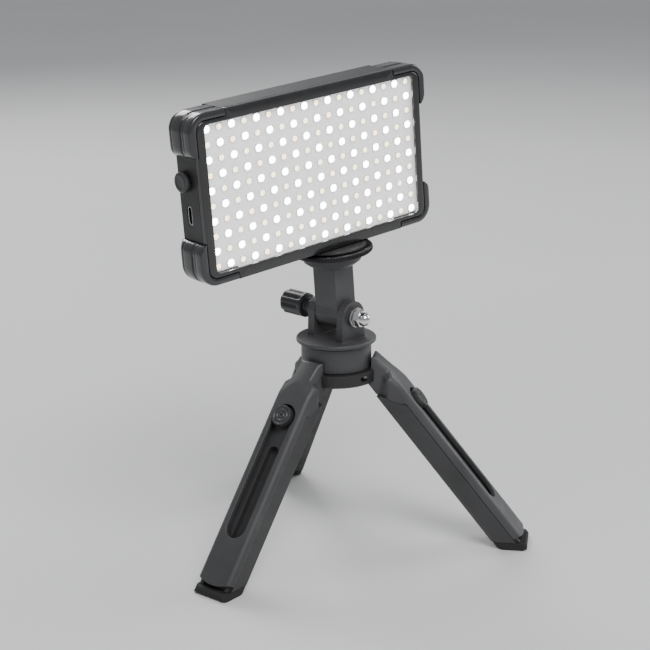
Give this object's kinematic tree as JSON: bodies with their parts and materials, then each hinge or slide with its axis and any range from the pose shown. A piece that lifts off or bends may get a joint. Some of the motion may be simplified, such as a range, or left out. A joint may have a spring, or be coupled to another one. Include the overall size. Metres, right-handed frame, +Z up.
{
  "type": "led panel light",
  "caption": "Pocket LED panel light with rubber corner bumpers, on a screw-mounted tilt head and a small folding tripod with push-button telescopic legs.",
  "frame": {"origin": "on the ground, under the centre of the whole object box", "axes": "+Z up; the lamps face -Y; the panel is long along X"},
  "size_m": [0.1652, 0.1726, 0.2346],
  "materials": {
    "shell_black": "fine-grained black moulded housing",
    "bumper_smoke": "glossy near-black elastomer corner",
    "window_clear": "clear flat cover sheet",
    "board_white": "metal-core circuit board with white mask",
    "board_green": "glass-fibre circuit board",
    "battery_wrap": "laminate pouch cell in coloured wrap",
    "sheet_aluminium": "bare rolled sheet",
    "plain_steel": "plated steel hardware",
    "chrome_nut": "bright nickel plating",
    "brass_insert": "turned brass",
    "dark_ring": "black anodised, knurled edge",
    "rubber_black": "matt moulded rubber",
    "tripod_grey": "fine-textured dark grey moulding",
    "knob_plastic": "dark moulded plastic",
    "plastic_black": "black glass-filled nylon",
    "dial_plastic": "dark moulded cap",
    "display_smoke": "smoked display window"
  },
  "bodies": {
    "hub": {"hub_base": "plastic_black", "hub_cup": "tripod_grey", "centre_screw": "plain_steel", "hinge_pin_1": "plain_steel", "hinge_pin_2": "plain_steel", "hinge_pin_3": "plain_steel"},
    "head": {"pan_fork": "tripod_grey", "nut_washer": "plain_steel", "acorn_nut": "chrome_nut"},
    "knob": {"thumb_knob": "knob_plastic", "tilt_bolt": "plain_steel"},
    "tilt_head": {"tilt_tongue": "tripod_grey", "camera_stud": "plain_steel"},
    "ring": {"lock_ring": "dark_ring", "ring_pad": "rubber_black"},
    "light": {"front_frame": "shell_black", "front_window": "window_clear", "lamp_board": "board_white", "heat_spreader": "sheet_aluminium", "rear_cover": "shell_black", "battery_pack": "battery_wrap", "control_board": "board_green", "usb_port": "plain_steel", "usb_tongue": "plastic_black", "encoder": "plain_steel", "display_window": "display_smoke", "display_module": "plastic_black", "socket_insert": "brass_insert", "cover_screw_1": "plain_steel", "cover_screw_2": "plain_steel", "cover_screw_3": "plain_steel", "cover_screw_4": "plain_steel", "bumper_top_left": "bumper_smoke", "bumper_top_right": "bumper_smoke", "bumper_bottom_left": "bumper_smoke", "bumper_bottom_right": "bumper_smoke"},
    "dial_shaft": {"encoder_shaft": "plain_steel"},
    "dial_cap": {"dial": "dial_plastic"},
    "leg_1": {"leg_shell_1": "tripod_grey"},
    "leg_slide_1": {"leg_core_1": "plastic_black", "leg_foot_1": "rubber_black", "button_spring_1": "plain_steel"},
    "leg_lock_1": {"leg_button_1": "knob_plastic"},
    "leg_2": {"leg_shell_2": "tripod_grey"},
    "leg_slide_2": {"leg_core_2": "plastic_black", "leg_foot_2": "rubber_black", "button_spring_2": "plain_steel"},
    "leg_lock_2": {"leg_button_2": "knob_plastic"},
    "leg_3": {"leg_shell_3": "tripod_grey"},
    "leg_slide_3": {"leg_core_3": "plastic_black", "leg_foot_3": "rubber_black", "button_spring_3": "plain_steel"},
    "leg_lock_3": {"leg_button_3": "knob_plastic"}
  },
  "joints": [
    {"name": "head_pan", "type": "hinge", "parent": "hub", "child": "head", "pos_m": [0.01347, -0.00714, 0.1048], "axis": [0, 0, 1], "continuous": true},
    {"name": "light_tilt", "type": "hinge", "parent": "head", "child": "tilt_head", "pos_m": [0.01347, -0.00714, 0.1166], "axis": [0.1045, -0.9945, 0], "range_deg": [-64.5, 55.4]},
    {"name": "knob_turn", "type": "hinge", "parent": "head", "child": "knob", "pos_m": [0.01347, -0.00714, 0.1166], "axis": [0.1045, -0.9945, 0], "continuous": true},
    {"name": "lock_ring_turn", "type": "hinge", "parent": "tilt_head", "child": "ring", "pos_m": [0.01066, -0.00744, 0.15189], "axis": [-0.0792, -0.0083, 0.9968], "continuous": true},
    {"name": "light_pan", "type": "hinge", "parent": "tilt_head", "child": "light", "pos_m": [0.01066, -0.00744, 0.15189], "axis": [-0.0792, -0.0083, 0.9968], "continuous": true},
    {"name": "dial_turn", "type": "hinge", "parent": "light", "child": "dial_shaft", "pos_m": [-0.07155, -0.00461, 0.19293], "axis": [0.9969, -0.0003, 0.0792], "continuous": true},
    {"name": "dial_press", "type": "slide", "parent": "dial_shaft", "child": "dial_cap", "axis": [0.9969, -0.0003, 0.0792], "range_m": [0, 0.0005], "stiffness_N_per_m": 1500, "springref_m": -0.0006},
    {"name": "leg_fold_1", "type": "hinge", "parent": "hub", "child": "leg_1", "pos_m": [-0.00178, -0.00991, 0.08705], "axis": [0.1788, -0.9839, 0], "range_deg": [0, 38]},
    {"name": "leg_extend_1", "type": "slide", "parent": "leg_1", "child": "leg_slide_1", "axis": [-0.6057, -0.1101, -0.788], "range_m": [0, 0.055]},
    {"name": "leg_button_press_1", "type": "slide", "parent": "leg_slide_1", "child": "leg_lock_1", "axis": [0.7753, 0.1409, -0.6157], "range_m": [0, 0.0014], "stiffness_N_per_m": 500, "springref_m": -0.001},
    {"name": "leg_fold_2", "type": "hinge", "parent": "hub", "child": "leg_2", "pos_m": [0.02349, -0.01896, 0.08705], "axis": [0.7627, 0.6468, 0], "range_deg": [0, 38]},
    {"name": "leg_extend_2", "type": "slide", "parent": "leg_2", "child": "leg_slide_2", "axis": [0.3982, -0.4695, -0.788], "range_m": [0, 0.055]},
    {"name": "leg_button_press_2", "type": "slide", "parent": "leg_slide_2", "child": "leg_lock_2", "axis": [-0.5097, 0.601, -0.6157], "range_m": [0, 0.0014], "stiffness_N_per_m": 500, "springref_m": -0.001},
    {"name": "leg_fold_3", "type": "hinge", "parent": "hub", "child": "leg_3", "pos_m": [0.01869, 0.00745, 0.08705], "axis": [-0.9415, 0.3371, 0], "range_deg": [0, 38]},
    {"name": "leg_extend_3", "type": "slide", "parent": "leg_3", "child": "leg_slide_3", "axis": [0.2075, 0.5796, -0.788], "range_m": [0, 0.055]},
    {"name": "leg_button_press_3", "type": "slide", "parent": "leg_slide_3", "child": "leg_lock_3", "axis": [-0.2656, -0.7419, -0.6157], "range_m": [0, 0.0014], "stiffness_N_per_m": 500, "springref_m": -0.001}
  ]
}
